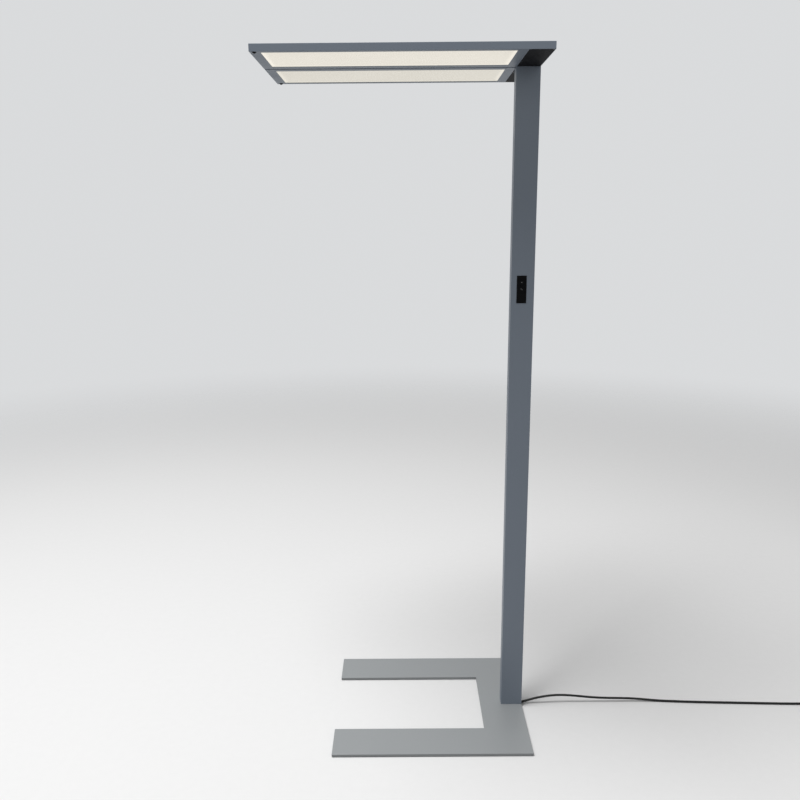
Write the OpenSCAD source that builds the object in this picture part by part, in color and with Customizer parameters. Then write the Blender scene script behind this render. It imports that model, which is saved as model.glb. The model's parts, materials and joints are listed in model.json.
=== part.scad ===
// Office floor lamp: a U-shaped steel base, a flat post and a thin cantilevered head.
// +Z is up, -Y is the user's side, and the head and the base's arms reach towards -X.
// The right faces of base, post and head are flush, and the lamp stands on z = 0.

/* [Overall] */
// Height from the floor to the top of the head
total_h = 1950; // [1800:5:2050]

/* [Base] */
// Length of the base along its arms
base_l = 592; // [560:2:640]
// Width of the base across its arms
base_w = 510; // [480:2:560]
// Width of each arm
arm_w = 118; // [100:1:130]
// Width of the bar that joins the arms
crossbar_w = 132; // [110:1:150]
// Thickness of the steel plate
plate_t = 8; // [8:0.5:10]
// Diameter of a glide under the base
glide_d = 24; // [18:1:30]
// Thickness of a glide
glide_t = 2; // [2:0.5:4]

/* [Post] */
// Width of the post as seen from the front
post_w = 66; // [64:1:76]
// Depth of the post
post_d = 34; // [33:0.5:40]
// Wall of the post's profile
post_wall = 2.4; // [2:0.1:3]
// Height of the block inside the post's foot
foot_h = 46; // [44:1:60]
// Height of the block inside the post's top
neck_h = 24; // [20:1:40]

/* [Controls] */
// Width of the control panel
panel_w = 28; // [27:0.5:32]
// Height of the control panel
panel_h = 78; // [76:1:90]
// Height of the panel's middle above the floor
panel_z = 1339; // [1200:1:1400]
// How far the panel sits from the middle of the post, towards the head's free end
panel_off = 3; // [0:0.5:6]
// How far the panel stands proud of the post
panel_proud = 1.2; // [0.8:0.1:2]
// Width of a key
key_w = 18; // [14:0.5:19]
// Height of a key
key_h = 17; // [14:0.5:18]
// Travel of a key
key_travel = 0.8; // [0.4:0.1:1]

/* [Head] */
// Length of the head
head_l = 742; // [700:2:800]
// Width of the head
head_w = 452; // [430:2:500]
// Thickness of the head
head_t = 18; // [17:0.5:20]
// Rim beside each diffuser
rim_w = 16; // [13:0.5:20]
// Rim at the free end
end_rim_w = 26; // [22:0.5:34]
// Bar between the two diffusers
centre_bar_w = 58; // [50:1:70]
// Shadow groove along the middle of that bar
groove_w = 9; // [6:0.5:12]
// Depth of the groove
groove_depth = 3; // [2:0.5:4]
// Rim between the diffusers and the black cover
inner_rim_w = 26; // [20:0.5:34]
// Width of the black cover over the electronics
cover_w = 64; // [60:1:72]
// Diameter of a sensor lens
sensor_d = 11.5; // [9:0.5:12]
// How far a sensor lens stands below the head
sensor_drop = 3.5; // [2:0.5:5]

/* [Cord] */
// Diameter of the mains cord
cord_d = 7; // [6:0.5:7.5]
// Length of the tapered strain relief
boot_l = 22; // [20:1:40]
// Turns in the put-away coil
coil_turns = 8.25; // [6.25:1:9.25]

/* [Hidden] */
$fn = 48;
eps = 0.01;

// Shared clearances
slip = 0.3;
fine = 0.15;

// Places along X: everything ends flush at the right
right_x = head_l / 2;
left_x = -right_x;
post_x = right_x - post_w / 2;
base_x0 = right_x - base_l;
gap_x1 = right_x - crossbar_w;
cover_x0 = right_x - cover_w;
window_x0 = left_x + end_rim_w;
window_x1 = cover_x0 - inner_rim_w;

// Heights
plate_top = glide_t + plate_t;
head_z = total_h - head_t;
post_front = -post_d / 2;

// Layers in the head, counted up from its underside
lip_t = 1.5;
diffuser_t = 2;
guide_t = 4;
reflector_t = 1;
spreader_t = 2;
board_t = 1.6;
top_t = 1.5;
cover_sheet_t = 1.5;
diffuser_z = head_z + lip_t;
guide_z = diffuser_z + diffuser_t;
reflector_z = guide_z + guide_t;
spreader_z = reflector_z + reflector_t;
board_z = spreader_z + spreader_t;
top_z = total_h - top_t;
up_cover_z = top_z - cover_sheet_t;
lip_w = 4;
ledge = 3;
top_ledge = 4;

// Light windows: each runs from the rim to the centre bar
window_w = (head_w - 2 * rim_w - centre_bar_w) / 2;
window_y = (centre_bar_w + window_w) / 2;
window_l = window_x1 - window_x0;
window_mid = (window_x0 + window_x1) / 2;
strip_t = 1.5;
bar_core_w = centre_bar_w - 2 * lip_w;
uplight_in = [27, 33];
uplight_l = window_l - uplight_in.x;
uplight_w = window_w - uplight_in.y;
uplight_board_w = 40;
leds = 16;
led = 3.5;
led_t = 0.8;
top_screw_out = lip_w + ledge + top_ledge / 2;

// Screw sizes: shank radius, head radius, and the countersink's depth
m2 = [1.1, 1.9];
m3 = [1.5, 2.8];
m5 = [2.5, 4.4];
set_l = 10;
head_screw_grip = 20;
top_screw_l = 5;
bar_screw_l = 6;
cover_screw_l = 5;
driver_screw_l = 6;
screw_head_t = 1.6;

// Fixed parts of the post
tube_w = post_w - 2 * post_wall;
tube_d = post_d - 2 * post_wall;
slot_gap = 1;
slot_w = cord_d + 2 * slot_gap;
cord_z = glide_t + cord_d / 2;
bend_r = 24;
riser_x = post_x;
foot_screw_in = 9;
foot_set_down = 8;
screw_x = post_w / 2 - foot_screw_in;
foot_screw_y = (slot_w + tube_d) / 4;
clamp_h = 12;
neck_screw_in = [15, 6];
neck_screw_x = post_w / 2 - neck_screw_in.x;
neck_screw_y = tube_d / 2 - neck_screw_in.y;
neck_set_x = 8;
neck_bore_gap = 2;
neck_bore_r = cord_d / 2 + neck_bore_gap;

// Controls
panel_x = post_x - panel_off;
window_gap = 0.3;
panel_lip = 2;
shell_w = panel_w - 2 * panel_lip;
shell_h = panel_h - 2 * panel_lip;
shell_wall = 1.6;
shell_depth = 10;
face_t = 2;
key_gap = 0.2;
flange = 0.9;
flange_t = 1;
key_spacing = 2.5;
key_pitch = key_h + key_spacing;
key_from_top = 19;
upper_key_z = panel_z + panel_h / 2 - key_from_top;
lower_key_z = upper_key_z - key_pitch;
face_y = post_front - panel_proud;
key_proud = 0.3;
key_front = face_y - key_proud;
key_flange_y = face_y + face_t + slip;
stem_y = key_flange_y + flange_t;
switch_side = 6;
switch_t = 2;
plunger_r = 1.75;
plunger_l = 1;
stem_side = 5;
stem_l = 1;
control_board_y = stem_y + stem_l + key_travel + fine + plunger_l + switch_t;
clip_t = 1.5;
peg = 3;
peg_x = shell_w / 2 - shell_wall - peg;
peg_z = shell_h / 2 - shell_wall - peg;

// Electronics bay above the cover
bay_roof_t = 6;
bay_roof_z = total_h - bay_roof_t;
bay_in = 7;
bay_x0 = cover_x0 + bay_in;
bay_x1 = right_x - bay_in;
bay_w = head_w - 2 * bay_in;
cover_t = 2;
cover_edge = 1.2;
cover_screw_in = (cover_edge + bay_in) / 2;
driver_l = 150;
driver_w = 30;
driver_gap = 1;
driver_h = bay_roof_z - head_z - cover_t - driver_gap;
driver_tab = 10;
tab_t = 2;
driver_x = (bay_x0 + bay_x1) / 2;
driver_from_post = 23;
driver_y0 = post_d / 2 + driver_from_post;
core_z = bay_roof_z - driver_h / 2;
core_r = 1;
core_pitch = 2.2;
sheath_top = core_z + 2 * core_r;
terminal_from_post = 5;
terminal_y1 = post_d / 2 + terminal_from_post;
terminal_l = 22;
terminal_w = 20;

// Cable from the controls to the driver
wire_r = 2;
wire_gap = 1;
control_from_axis = 9;
control_x = post_x + control_from_axis;
control_y = post_front + shell_depth + clip_t + wire_r;

// Sensors in the corners of the free end
sensor_in = [12, 9];
sensor_x = left_x + sensor_in.x;
sensor_y = head_w / 2 - sensor_in.y;
lens_faces = 64;
sensor_hole = 11;

// Cord: its route from the base to the coil, as it lies
cord_r = cord_d / 2;
cord_sides = 8;
boot_r = [4.2, 3.7];
boot_tilt = 18;
boot_root = 2;
run_points = [[392, 0, 12.3], [400, 0, 14.9], [412, 0.5, 18.3], [425, 1, 21.2], [438, 1.3, 23.6],
    [452, 2, 25.7], [468, 2.6, 27.4], [484, 3.3, 28.2], [500, 4, 28], [516, 4.5, 27.2],
    [533, 5, 25.7], [550, 5.6, 23.7], [567, 6.2, 21.4], [585, 6.8, 18.9], [605, 7.4, 16.6],
    [627, 7.8, 14.8], [650, 8, 13.6], [673, 8.2, 12.9], [695, 8.4, 12.3], [717, 8.6, 11.4],
    [740, 8.7, 10.1], [762, 8.6, 8.4], [784, 8.2, 6.4], [806, 7.3, 4.7], [826, 6, 3.7],
    [850, 4.2, 3.5], [900, 0.6, 3.5], [950, -2.3, 3.5], [1000, -4.6, 3.5], [1050, -6.6, 3.5],
    [1100, -8.7, 3.5], [1150, -10.8, 3.5], [1200, -12.8, 3.5], [1250, -14.2, 3.5],
    [1290, -14.9, 3.8], [1320, -15, 4.4], [1338, -15, 4.7], [1345, -15, 4.7]];

// The coil is wound in layers, and a strap holds it
coil_pitch = cord_d + 0.6;
coil_layers = 4;
coil_mid_r = 5.5 * cord_d;
layer_turns = coil_turns / coil_layers;
coil_out_r = coil_mid_r + coil_pitch * layer_turns / 2;
coil_rings = 24;
coil_sides = 6;
tie_t = 1.2;
tie_w = 12;
tie_angle = -110;
coil_z = tie_t + cord_r;
run_end = run_points[len(run_points) - 1];
coil_at = [run_end.x + cord_d, run_end.y - coil_out_r];
tail_start = [coil_at.x + coil_out_r, coil_at.y - cord_d, coil_z + coil_pitch * (coil_layers - 1)];
tail_sag = [[0, 0, 0], [0, -7, 0], [0, -16, -0.8], [0, -25, -2.5], [0, -34, -4.8],
    [0, -43, -7], [0, -52, -8.7], [0, -60, -9.5], [0, -67, -9.5]];
tail_points = [for (p = tail_sag) tail_start + p];
plug_at = tail_points[len(tail_points) - 1];
plug_r = 18;
plug_l = 32;
plug_neck_l = 24;
plug_neck_r = [cord_r + 0.6, cord_r + 2.4];
plug_shoulder = [[9, 0], [14, 3], [17, 8], [plug_r, 14]];
plug_edge = 1;
pin_r = 2.4;
pin_l = 19;
pin_pitch = 19;

// A box between two corners
module block(low, high) {
    translate(low) cube(high - low);
}

// A rectangle centred at x and y, standing from z0 to z1
module slab(x, y, w, d, z0, z1) {
    block([x - w / 2, y - d / 2, z0], [x + w / 2, y + d / 2, z1]);
}

// A countersunk screw whose head is flush at the origin and whose shank points up
module countersunk(size, length) {
    sink = size[1] - size[0];
    rotate_extrude() polygon([[0, 0], [size[1], 0], [size[0], sink], [size[0], length], [0, length]]);
}

// The hole that a countersunk screw passes through
module countersunk_hole(size, length, gap = fine) {
    sink = size[1] - size[0];
    rotate_extrude() polygon([[0, -eps], [size[1] + gap, -eps], [size[1] + gap, gap],
        [size[0] + gap, sink + gap], [size[0] + gap, length], [0, length]]);
}

// Children at the four corners of a rectangle
module at_corners(x, y, dx, dy) {
    for (sx = [-1, 1], sy = [-1, 1]) translate([x + sx * dx, y + sy * dy, 0]) children();
}

// Children on the near and the far side
module at_sides(y) {
    for (side = [-1, 1]) translate([0, side * y, 0]) children();
}

// Unit direction of a route at point i
function heading(route, i) =
    let (a = route[max(i - 1, 0)], b = route[min(i + 1, len(route) - 1)]) (b - a) / norm(b - a);

// One ring of a tube: a polygon square to the route at point i
function ring(route, i, r, sides) =
    let (ahead = heading(route, i), level = cross(ahead, [0, 0, 1]), side = level / norm(level),
        up = cross(side, ahead))
    [for (k = [0:sides - 1]) route[i] + r * (cos(360 * k / sides) * side + sin(360 * k / sides) * up)];

// A closed tube swept along a route
module tube(route, r, sides) {
    last = len(route) - 1;
    points = [for (i = [0:last]) each ring(route, i, r, sides)];
    skin = [for (i = [0:last - 1], k = [0:sides - 1])
        let (a = i * sides + k, b = i * sides + (k + 1) % sides, c = a + sides, d = b + sides)
        each [[a, c, b], [b, c, d]]];
    start = [for (k = [0:sides - 1]) k];
    end = [for (k = [sides - 1:-1:0]) last * sides + k];
    polyhedron(points, concat(skin, [start, end]));
}

// Smooth rise from 0 to 1
function ease(t) = let (c = min(max(t, 0), 1)) c * c * (3 - 2 * c);

// Radius and height of the coil after t turns: in, out, in and out again, a layer up at each turn
function coil_r(t) =
    let (k = floor(t / layer_turns), u = t / layer_turns - k)
    coil_out_r - coil_pitch * layer_turns * (k % 2 == 0 ? u : 1 - u);
function coil_h(t) =
    let (steps = [for (k = [1:coil_layers - 1]) ease((t - k * layer_turns) * 2 + 0.5)])
    coil_z + coil_pitch * (steps * [for (s = steps) 1]);
function coil_point(t) =
    let (a = 90 - 360 * t) [coil_at.x + coil_r(t) * cos(a), coil_at.y + coil_r(t) * sin(a), coil_h(t)];
coil_route = concat([[run_end.x, run_end.y, coil_z]],
    [for (i = [0:coil_turns * coil_rings]) coil_point(min(i / coil_rings, coil_turns - eps / 100))],
    [tail_start]);

// Least gap between turns, measured between ring centres more than half a turn apart
coil_gap = min([for (i = [0:len(coil_route) - 1])
    each [for (j = [i + coil_rings / 2:len(coil_route) - 1]) norm(coil_route[i] - coil_route[j])]]) - cord_d;
function route_length(route, i = 0) =
    i >= len(route) - 1 ? 0 : norm(route[i + 1] - route[i]) + route_length(route, i + 1);
echo(coil_gap = coil_gap, run_l = route_length(run_points), coil_l = route_length(coil_route),
    tail_l = route_length(tail_points), plug_at = plug_at, coil_at = coil_at);

// Base

module base_plate() {
    color("silver") difference() {
        block([base_x0, -base_w / 2, glide_t], [right_x, base_w / 2, plate_top]);
        block([base_x0 - eps, arm_w - base_w / 2, 0], [gap_x1, base_w / 2 - arm_w, plate_top + eps]);
        block([riser_x - slot_w / 2, -slot_w / 2, 0], [right_x + eps, slot_w / 2, plate_top + eps]);
        at_corners(post_x, 0, screw_x, foot_screw_y)
            translate([0, 0, glide_t]) countersunk_hole(m5, plate_t + eps);
    }
}

module glide_spots() {
    inset = glide_d;
    for (x = [base_x0 + inset, post_x], y = [-1, 1])
        translate([x, y * (base_w / 2 - inset), 0]) children();
}

module base_glides() {
    color("dimgray") glide_spots() cylinder(d = glide_d, h = glide_t);
    color("dimgray") at_sides(arm_w / 2) translate([gap_x1 + glide_d, 0, 0])
        cylinder(d = glide_d, h = glide_t);
}

// The foot block is open to the right, where the cord turns up into the post
module foot_block() {
    color("gray") difference() {
        slab(post_x, 0, tube_w - fine, tube_d - fine, plate_top, plate_top + foot_h);
        block([riser_x - slot_w / 2, -slot_w / 2, plate_top - eps],
            [right_x, slot_w / 2, plate_top + foot_h + eps]);
        at_corners(post_x, 0, screw_x, foot_screw_y)
            translate([0, 0, plate_top - eps]) cylinder(r = m5[0], h = foot_h / 2 + eps);
        foot_set_spots() cylinder(r = m5[0], h = set_l);
    }
}

module base_screws() {
    color("dimgray") at_corners(post_x, 0, screw_x, foot_screw_y)
        translate([0, 0, glide_t]) countersunk(m5, plate_t + foot_h / 2);
}

// Moves children to the set screws in the back of the post, pointing forwards
module at_back(z, dx) {
    for (side = [-1, 1])
        translate([post_x + side * dx, post_d / 2, z]) rotate([90, 0, 0]) children();
}

module foot_set_spots() {
    at_back(plate_top + foot_h - foot_set_down, screw_x) children();
}

module neck_set_spots() {
    at_back(head_z - neck_h / 2, neck_set_x) children();
}

module cord_clamp() {
    color("black") difference() {
        block([riser_x - slot_w / 2, -slot_w / 2, plate_top + foot_h - clamp_h],
            [riser_x + slot_w, slot_w / 2, plate_top + foot_h]);
        translate([riser_x, 0, 0]) cylinder(r = cord_r, h = head_z);
    }
}

// Post

module post() {
    color("silver") difference() {
        slab(post_x, 0, post_w, post_d, plate_top, head_z);
        slab(post_x, 0, tube_w, tube_d, plate_top - eps, head_z + eps);
        block([panel_x - shell_w / 2 - window_gap, post_front - eps, panel_z - shell_h / 2 - window_gap],
            [panel_x + shell_w / 2 + window_gap, 0, panel_z + shell_h / 2 + window_gap]);
        foot_set_spots() cylinder(r = m5[0] + fine, h = set_l);
        neck_set_spots() cylinder(r = m5[0] + fine, h = set_l);
    }
}

module foot_set_screws() {
    color("dimgray") foot_set_spots() cylinder(r = m5[0], h = set_l);
}

module neck_set_screws() {
    color("dimgray") neck_set_spots() cylinder(r = m5[0], h = set_l);
}

module neck_block() {
    color("gray") difference() {
        slab(post_x, 0, tube_w - fine, tube_d - fine, head_z - neck_h, head_z);
        translate([riser_x, 0, 0]) cylinder(r = neck_bore_r, h = total_h);
        translate([control_x, control_y, 0]) cylinder(r = wire_r + wire_gap, h = total_h);
        at_corners(post_x, 0, neck_screw_x, neck_screw_y) translate([0, 0, head_z - neck_h - eps])
            cylinder(r = m5[0], h = neck_h + 2 * eps);
        neck_set_spots() cylinder(r = m5[0], h = set_l);
    }
}

// Controls

module key_opening(z) {
    block([panel_x - key_w / 2 - key_gap, face_y - eps, z - key_h / 2 - key_gap],
        [panel_x + key_w / 2 + key_gap, face_y + face_t + eps, z + key_h / 2 + key_gap]);
}

module panel_housing() {
    color("black") difference() {
        union() {
            block([panel_x - panel_w / 2, face_y, panel_z - panel_h / 2],
                [panel_x + panel_w / 2, post_front, panel_z + panel_h / 2]);
            block([panel_x - shell_w / 2, face_y, panel_z - shell_h / 2],
                [panel_x + shell_w / 2, post_front + shell_depth, panel_z + shell_h / 2]);
        }
        block([panel_x - shell_w / 2 + shell_wall, face_y + face_t, panel_z - shell_h / 2 + shell_wall],
            [panel_x + shell_w / 2 - shell_wall, post_d, panel_z + shell_h / 2 - shell_wall]);
        key_opening(upper_key_z);
        key_opening(lower_key_z);
    }
}

// A key: its cap, the flange that keeps it in the housing, and its stem
module key(z) {
    block([panel_x - key_w / 2, key_front, z - key_h / 2], [panel_x + key_w / 2, stem_y, z + key_h / 2]);
    block([panel_x - key_w / 2 - flange, key_flange_y, z - key_h / 2 - flange],
        [panel_x + key_w / 2 + flange, stem_y, z + key_h / 2 + flange]);
    block([panel_x - stem_side / 2, stem_y - eps, z - stem_side / 2],
        [panel_x + stem_side / 2, stem_y + stem_l, z + stem_side / 2]);
}

module upper_key() {
    color("black") key(upper_key_z);
}

module lower_key() {
    color("black") key(lower_key_z);
}

module control_board() {
    color("darkgreen") block([panel_x - shell_w / 2 + shell_wall + fine, control_board_y,
            panel_z - shell_h / 2 + shell_wall + fine],
        [panel_x + shell_w / 2 - shell_wall - fine, control_board_y + board_t,
            panel_z + shell_h / 2 - shell_wall - fine]);
}

module key_switch(z) {
    translate([panel_x, control_board_y, z]) {
        block([-switch_side / 2, -switch_t, -switch_side / 2], [switch_side / 2, 0, switch_side / 2]);
        translate([0, -switch_t + eps, 0]) rotate([90, 0, 0]) cylinder(r = plunger_r, h = plunger_l + eps);
    }
}

module key_switches() {
    color("gray") key_switch(upper_key_z);
    color("gray") key_switch(lower_key_z);
}

// The clip closes the housing's back, and its pegs press the board forwards
module panel_clip() {
    back_y = post_front + shell_depth;
    peg_y = control_board_y + board_t;
    color("dimgray") {
        block([panel_x - shell_w / 2, back_y, panel_z - shell_h / 2],
            [panel_x + shell_w / 2, back_y + clip_t, panel_z + shell_h / 2]);
        for (sx = [-1, 1], sz = [-1, 1])
            block([panel_x + sx * peg_x - peg / 2, peg_y, panel_z + sz * peg_z - peg / 2],
                [panel_x + sx * peg_x + peg / 2, back_y + eps, panel_z + sz * peg_z + peg / 2]);
    }
}

// Mains cable: in along the base, a bend upwards, up the post, and its three cores to the terminals
module inner_mains_cable() {
    color("dimgray") {
        translate([riser_x + bend_r, 0, cord_z]) rotate([0, 90, 0])
            cylinder(r = cord_r, h = right_x - riser_x - bend_r);
        translate([riser_x + bend_r, 0, cord_z + bend_r]) rotate([90, 0, 0]) rotate([0, 0, 180])
            rotate_extrude(angle = 90) translate([bend_r, 0]) circle(r = cord_r);
        translate([riser_x, 0, cord_z + bend_r]) cylinder(r = cord_r, h = sheath_top - cord_z - bend_r);
        for (k = [-1:1]) translate([riser_x + k * core_pitch, 0, core_z]) rotate([90, 0, 0])
            cylinder(r = core_r, h = terminal_y1);
    }
}

// Control cable: up the post from the clip, and across to the driver
module control_cable() {
    color("dimgray") translate([control_x, control_y, 0]) {
        translate([0, 0, panel_z]) cylinder(r = wire_r, h = core_z - panel_z + wire_r);
        translate([0, 0, core_z]) rotate([-90, 0, 0])
            cylinder(r = wire_r, h = driver_y0 + driver_tab - control_y);
    }
}

// Head

// The outline of the frame's top steps, inset from the head's edge
module light_area(inset, z0, z1) {
    half_w = head_w / 2 - rim_w + inset;
    block([window_x0 - inset, -half_w, z0], [window_x1 + inset, half_w, z1]);
}

module head_groove(x0, x1) {
    block([x0, -groove_w / 2, head_z - eps], [x1, groove_w / 2, head_z + groove_depth]);
}

module at_cover_screws() {
    for (x = [cover_x0 + bay_in / 2, right_x - cover_screw_in], side = [-1, 1])
        translate([x, side * (head_w / 2 - cover_screw_in), head_z]) children();
    for (side = [-1, 1]) translate([cover_x0 + bay_in / 2, side * head_w / 6, head_z]) children();
}

module at_top_screws() {
    for (x = [window_x0 - top_screw_out, window_mid, window_x1 + top_screw_out],
        side = [-1, 1])
        translate([x, side * (head_w / 2 - rim_w + top_screw_out), total_h]) mirror([0, 0, 1]) children();
}

module at_head_screws() {
    at_corners(post_x, 0, neck_screw_x, neck_screw_y)
        translate([0, 0, total_h]) mirror([0, 0, 1]) children();
}

module at_sensors() {
    for (side = [-1, 1]) translate([sensor_x, side * sensor_y, 0]) children();
}

module head_frame() {
    color("slategray") difference() {
        block([left_x, -head_w / 2, head_z], [right_x, head_w / 2, total_h]);
        light_area(0, head_z - eps, total_h);
        light_area(lip_w, diffuser_z, total_h);
        light_area(lip_w + ledge, spreader_z, total_h);
        light_area(lip_w + ledge + top_ledge, top_z, total_h + eps);
        block([cover_x0, cover_edge - head_w / 2, head_z - eps],
            [right_x - cover_edge, head_w / 2 - cover_edge, head_z + cover_t]);
        block([bay_x0, -bay_w / 2, head_z], [bay_x1, bay_w / 2, bay_roof_z]);
        head_groove(left_x - eps, cover_x0 + eps);
        at_sensors() translate([0, 0, head_z - eps])
            cylinder(r = sensor_d / 2 + fine, h = sensor_hole + eps);
        at_head_screws() countersunk_hole(m5, head_t);
        at_cover_screws() cylinder(r = m2[0], h = cover_screw_l);
        at_top_screws() cylinder(r = m2[0], h = top_screw_l);
        at_driver_screws() cylinder(r = m3[0], h = driver_screw_l);
    }
}

// The bar has a lip along each side that the diffusers rest on
module centre_bar() {
    color("slategray") difference() {
        union() {
            block([window_x0 + fine, -centre_bar_w / 2, head_z],
                [window_x1 - fine, centre_bar_w / 2, diffuser_z]);
            block([window_x0 - lip_w + fine, -bar_core_w / 2, diffuser_z - eps],
                [window_x1 + lip_w - fine, bar_core_w / 2, spreader_z]);
        }
        head_groove(left_x, right_x);
        at_bar_screws() cylinder(r = m3[0], h = bar_screw_l);
    }
}

module at_bar_screws() {
    for (k = [-1:1]) translate([window_mid + k * window_l / 3, 0, board_z]) mirror([0, 0, 1]) children();
}

module bar_screws() {
    color("dimgray") at_bar_screws() countersunk(m3, bar_screw_l);
}

module neck_bracket() {
    color("gray") difference() {
        block([bay_x0 + fine, fine - post_d / 2, head_z], [bay_x1 - fine, post_d / 2 - fine, bay_roof_z]);
        translate([riser_x, 0, 0]) cylinder(r = neck_bore_r, h = total_h);
        block([riser_x - neck_bore_r, -post_d, head_z - eps], [riser_x + neck_bore_r, 0, bay_roof_z + eps]);
        translate([control_x, control_y, 0]) cylinder(r = wire_r + wire_gap, h = total_h);
        block([control_x - wire_r - wire_gap, control_y, head_z - eps],
            [control_x + wire_r + wire_gap, post_d, bay_roof_z + eps]);
        at_head_screws() cylinder(r = m5[0] + fine, h = head_t + eps);
    }
}

module head_screws() {
    color("dimgray") at_head_screws() countersunk(m5, head_t + head_screw_grip);
}

// A sheet of the light unit on one side of the bar, from its inner to its outer edge
module sheet(side, z, t, outer_gap = fine) {
    y0 = bar_core_w / 2 + fine;
    y1 = head_w / 2 - rim_w + lip_w - outer_gap;
    block([window_x0 - lip_w + fine, min(side * y0, side * y1), z],
        [window_x1 + lip_w - fine, max(side * y0, side * y1), z + t]);
}

module led_strip(side) {
    y1 = head_w / 2 - rim_w + lip_w;
    block([window_x0, min(side * y1, side * (y1 - strip_t)), guide_z],
        [window_x1, max(side * y1, side * (y1 - strip_t)), guide_z + guide_t]);
}

module near_diffuser() {
    color("white") sheet(-1, diffuser_z, diffuser_t);
}

module far_diffuser() {
    color("white") sheet(1, diffuser_z, diffuser_t);
}

module near_light_guide() {
    color("lightcyan") sheet(-1, guide_z, guide_t, strip_t + fine);
}

module far_light_guide() {
    color("lightcyan") sheet(1, guide_z, guide_t, strip_t + fine);
}

module near_reflector() {
    color("whitesmoke") sheet(-1, reflector_z, reflector_t);
}

module far_reflector() {
    color("whitesmoke") sheet(1, reflector_z, reflector_t);
}

module near_led_strip() {
    color("khaki") led_strip(-1);
}

module far_led_strip() {
    color("khaki") led_strip(1);
}

module heat_spreader() {
    color("gainsboro") difference() {
        light_area(lip_w + ledge - fine, spreader_z, board_z);
        at_bar_screws() countersunk_hole(m3, bar_screw_l);
    }
}

// Two boards with a row of light sources on each
module uplight_boards() {
    color("khaki") at_sides(window_y) {
        slab(window_mid, 0, uplight_l - 2 * ledge, uplight_board_w, board_z, board_z + board_t);
        for (k = [0:leds - 1])
            slab(window_mid + (k - (leds - 1) / 2) * uplight_l / leds, 0, led, led,
                board_z + board_t - eps, board_z + board_t + led_t);
    }
}

module uplight_covers() {
    color("ghostwhite") at_sides(window_y)
        slab(window_mid, 0, uplight_l + 2 * ledge, uplight_w + 2 * ledge, up_cover_z, top_z);
}

module top_plate() {
    color("slategray") difference() {
        light_area(lip_w + ledge + top_ledge - fine, top_z, total_h);
        at_sides(window_y) slab(window_mid, 0, uplight_l, uplight_w, top_z - eps, total_h + eps);
        at_top_screws() countersunk_hole(m2, top_t + eps, slip / 3);
    }
}

module top_plate_screws() {
    color("dimgray") at_top_screws() countersunk(m2, top_screw_l);
}

// Electronics

module at_driver_screws() {
    for (y = [driver_y0 + driver_tab / 2, driver_y0 + driver_l - driver_tab / 2])
        translate([driver_x, y, bay_roof_z - tab_t]) children();
}

module led_driver() {
    color("white") difference() {
        block([driver_x - driver_w / 2, driver_y0, bay_roof_z - driver_h],
            [driver_x + driver_w / 2, driver_y0 + driver_l, bay_roof_z]);
        for (y = [driver_y0, driver_y0 + driver_l])
            slab(driver_x, y, driver_w + 2 * eps, 2 * driver_tab,
                bay_roof_z - driver_h - eps, bay_roof_z - tab_t);
        at_driver_screws() cylinder(r = m3[0] + fine, h = tab_t + eps);
    }
}

module driver_screws() {
    color("dimgray") at_driver_screws() {
        cylinder(r = m3[0], h = driver_screw_l);
        translate([0, 0, -screw_head_t]) cylinder(r = m3[1], h = screw_head_t);
    }
}

module terminal_block() {
    color("ivory") block([riser_x - terminal_w / 2, -terminal_y1 - terminal_l, bay_roof_z - driver_h],
        [riser_x + terminal_w / 2, -terminal_y1, bay_roof_z]);
}

// The cover stands round the bracket that joins the head to the post
module driver_cover() {
    color("black") difference() {
        block([cover_x0 + fine, cover_edge + fine - head_w / 2, head_z],
            [right_x - cover_edge - fine, head_w / 2 - cover_edge - fine, head_z + cover_t]);
        block([bay_x0, -post_d / 2, head_z - eps], [bay_x1, post_d / 2, head_z + cover_t + eps]);
        at_cover_screws() countersunk_hole(m2, cover_t + eps, slip / 3);
    }
}

module cover_screws() {
    color("black") at_cover_screws() countersunk(m2, cover_screw_l);
}

// A sensor: a domed lens on a short round body
module sensor(side) {
    dome_r = (sensor_d * sensor_d / 4 + sensor_drop * sensor_drop) / (2 * sensor_drop);
    translate([sensor_x, side * sensor_y, head_z]) intersection() {
        translate([0, 0, dome_r - sensor_drop]) union() {
            sphere(r = dome_r, $fn = lens_faces);
            cylinder(r = dome_r, h = sensor_hole);
        }
        translate([0, 0, -sensor_drop]) cylinder(d = sensor_d, h = sensor_drop + sensor_hole - board_t);
    }
}

module near_sensor() {
    color("black") sensor(-1);
}

module far_sensor() {
    color("black") sensor(1);
}

module sensor_boards() {
    color("darkgreen") at_sensors() translate([0, 0, head_z + sensor_hole - board_t])
        cylinder(d = sensor_d, h = board_t);
}

// Cord

// The boot points up, and its root is cut flat against the base
module cord_boot() {
    color("black") difference() {
        translate([right_x, 0, cord_z]) rotate([0, 90 - boot_tilt, 0]) translate([0, 0, -boot_root])
            cylinder(h = boot_l + boot_root, r1 = boot_r[0], r2 = boot_r[1]);
        block([right_x - bend_r, -bend_r, 0], [right_x, bend_r, bend_r]);
    }
}

module cord_run() {
    color("black") tube(run_points, cord_r, cord_sides);
}

module cord_coil() {
    color("black") tube(coil_route, cord_r, coil_sides);
}

module cord_tail() {
    color("black") tube(tail_points, cord_r, cord_sides);
}

module plug_body() {
    color("black") translate(plug_at) rotate([90, 0, 0]) {
        cylinder(r1 = plug_neck_r[0], r2 = plug_neck_r[1], h = plug_neck_l);
        translate([0, 0, plug_neck_l]) rotate_extrude() polygon(concat([[0, 0]], plug_shoulder,
            [[plug_r, plug_l - plug_edge], [plug_r - plug_edge, plug_l], [0, plug_l]]));
    }
}

module plug_pins() {
    color("silver") for (side = [-1, 1])
        translate(plug_at + [side * pin_pitch / 2, -plug_neck_l - plug_l, 0]) rotate([90, 0, 0])
            cylinder(r = pin_r, h = pin_l);
}

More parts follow.
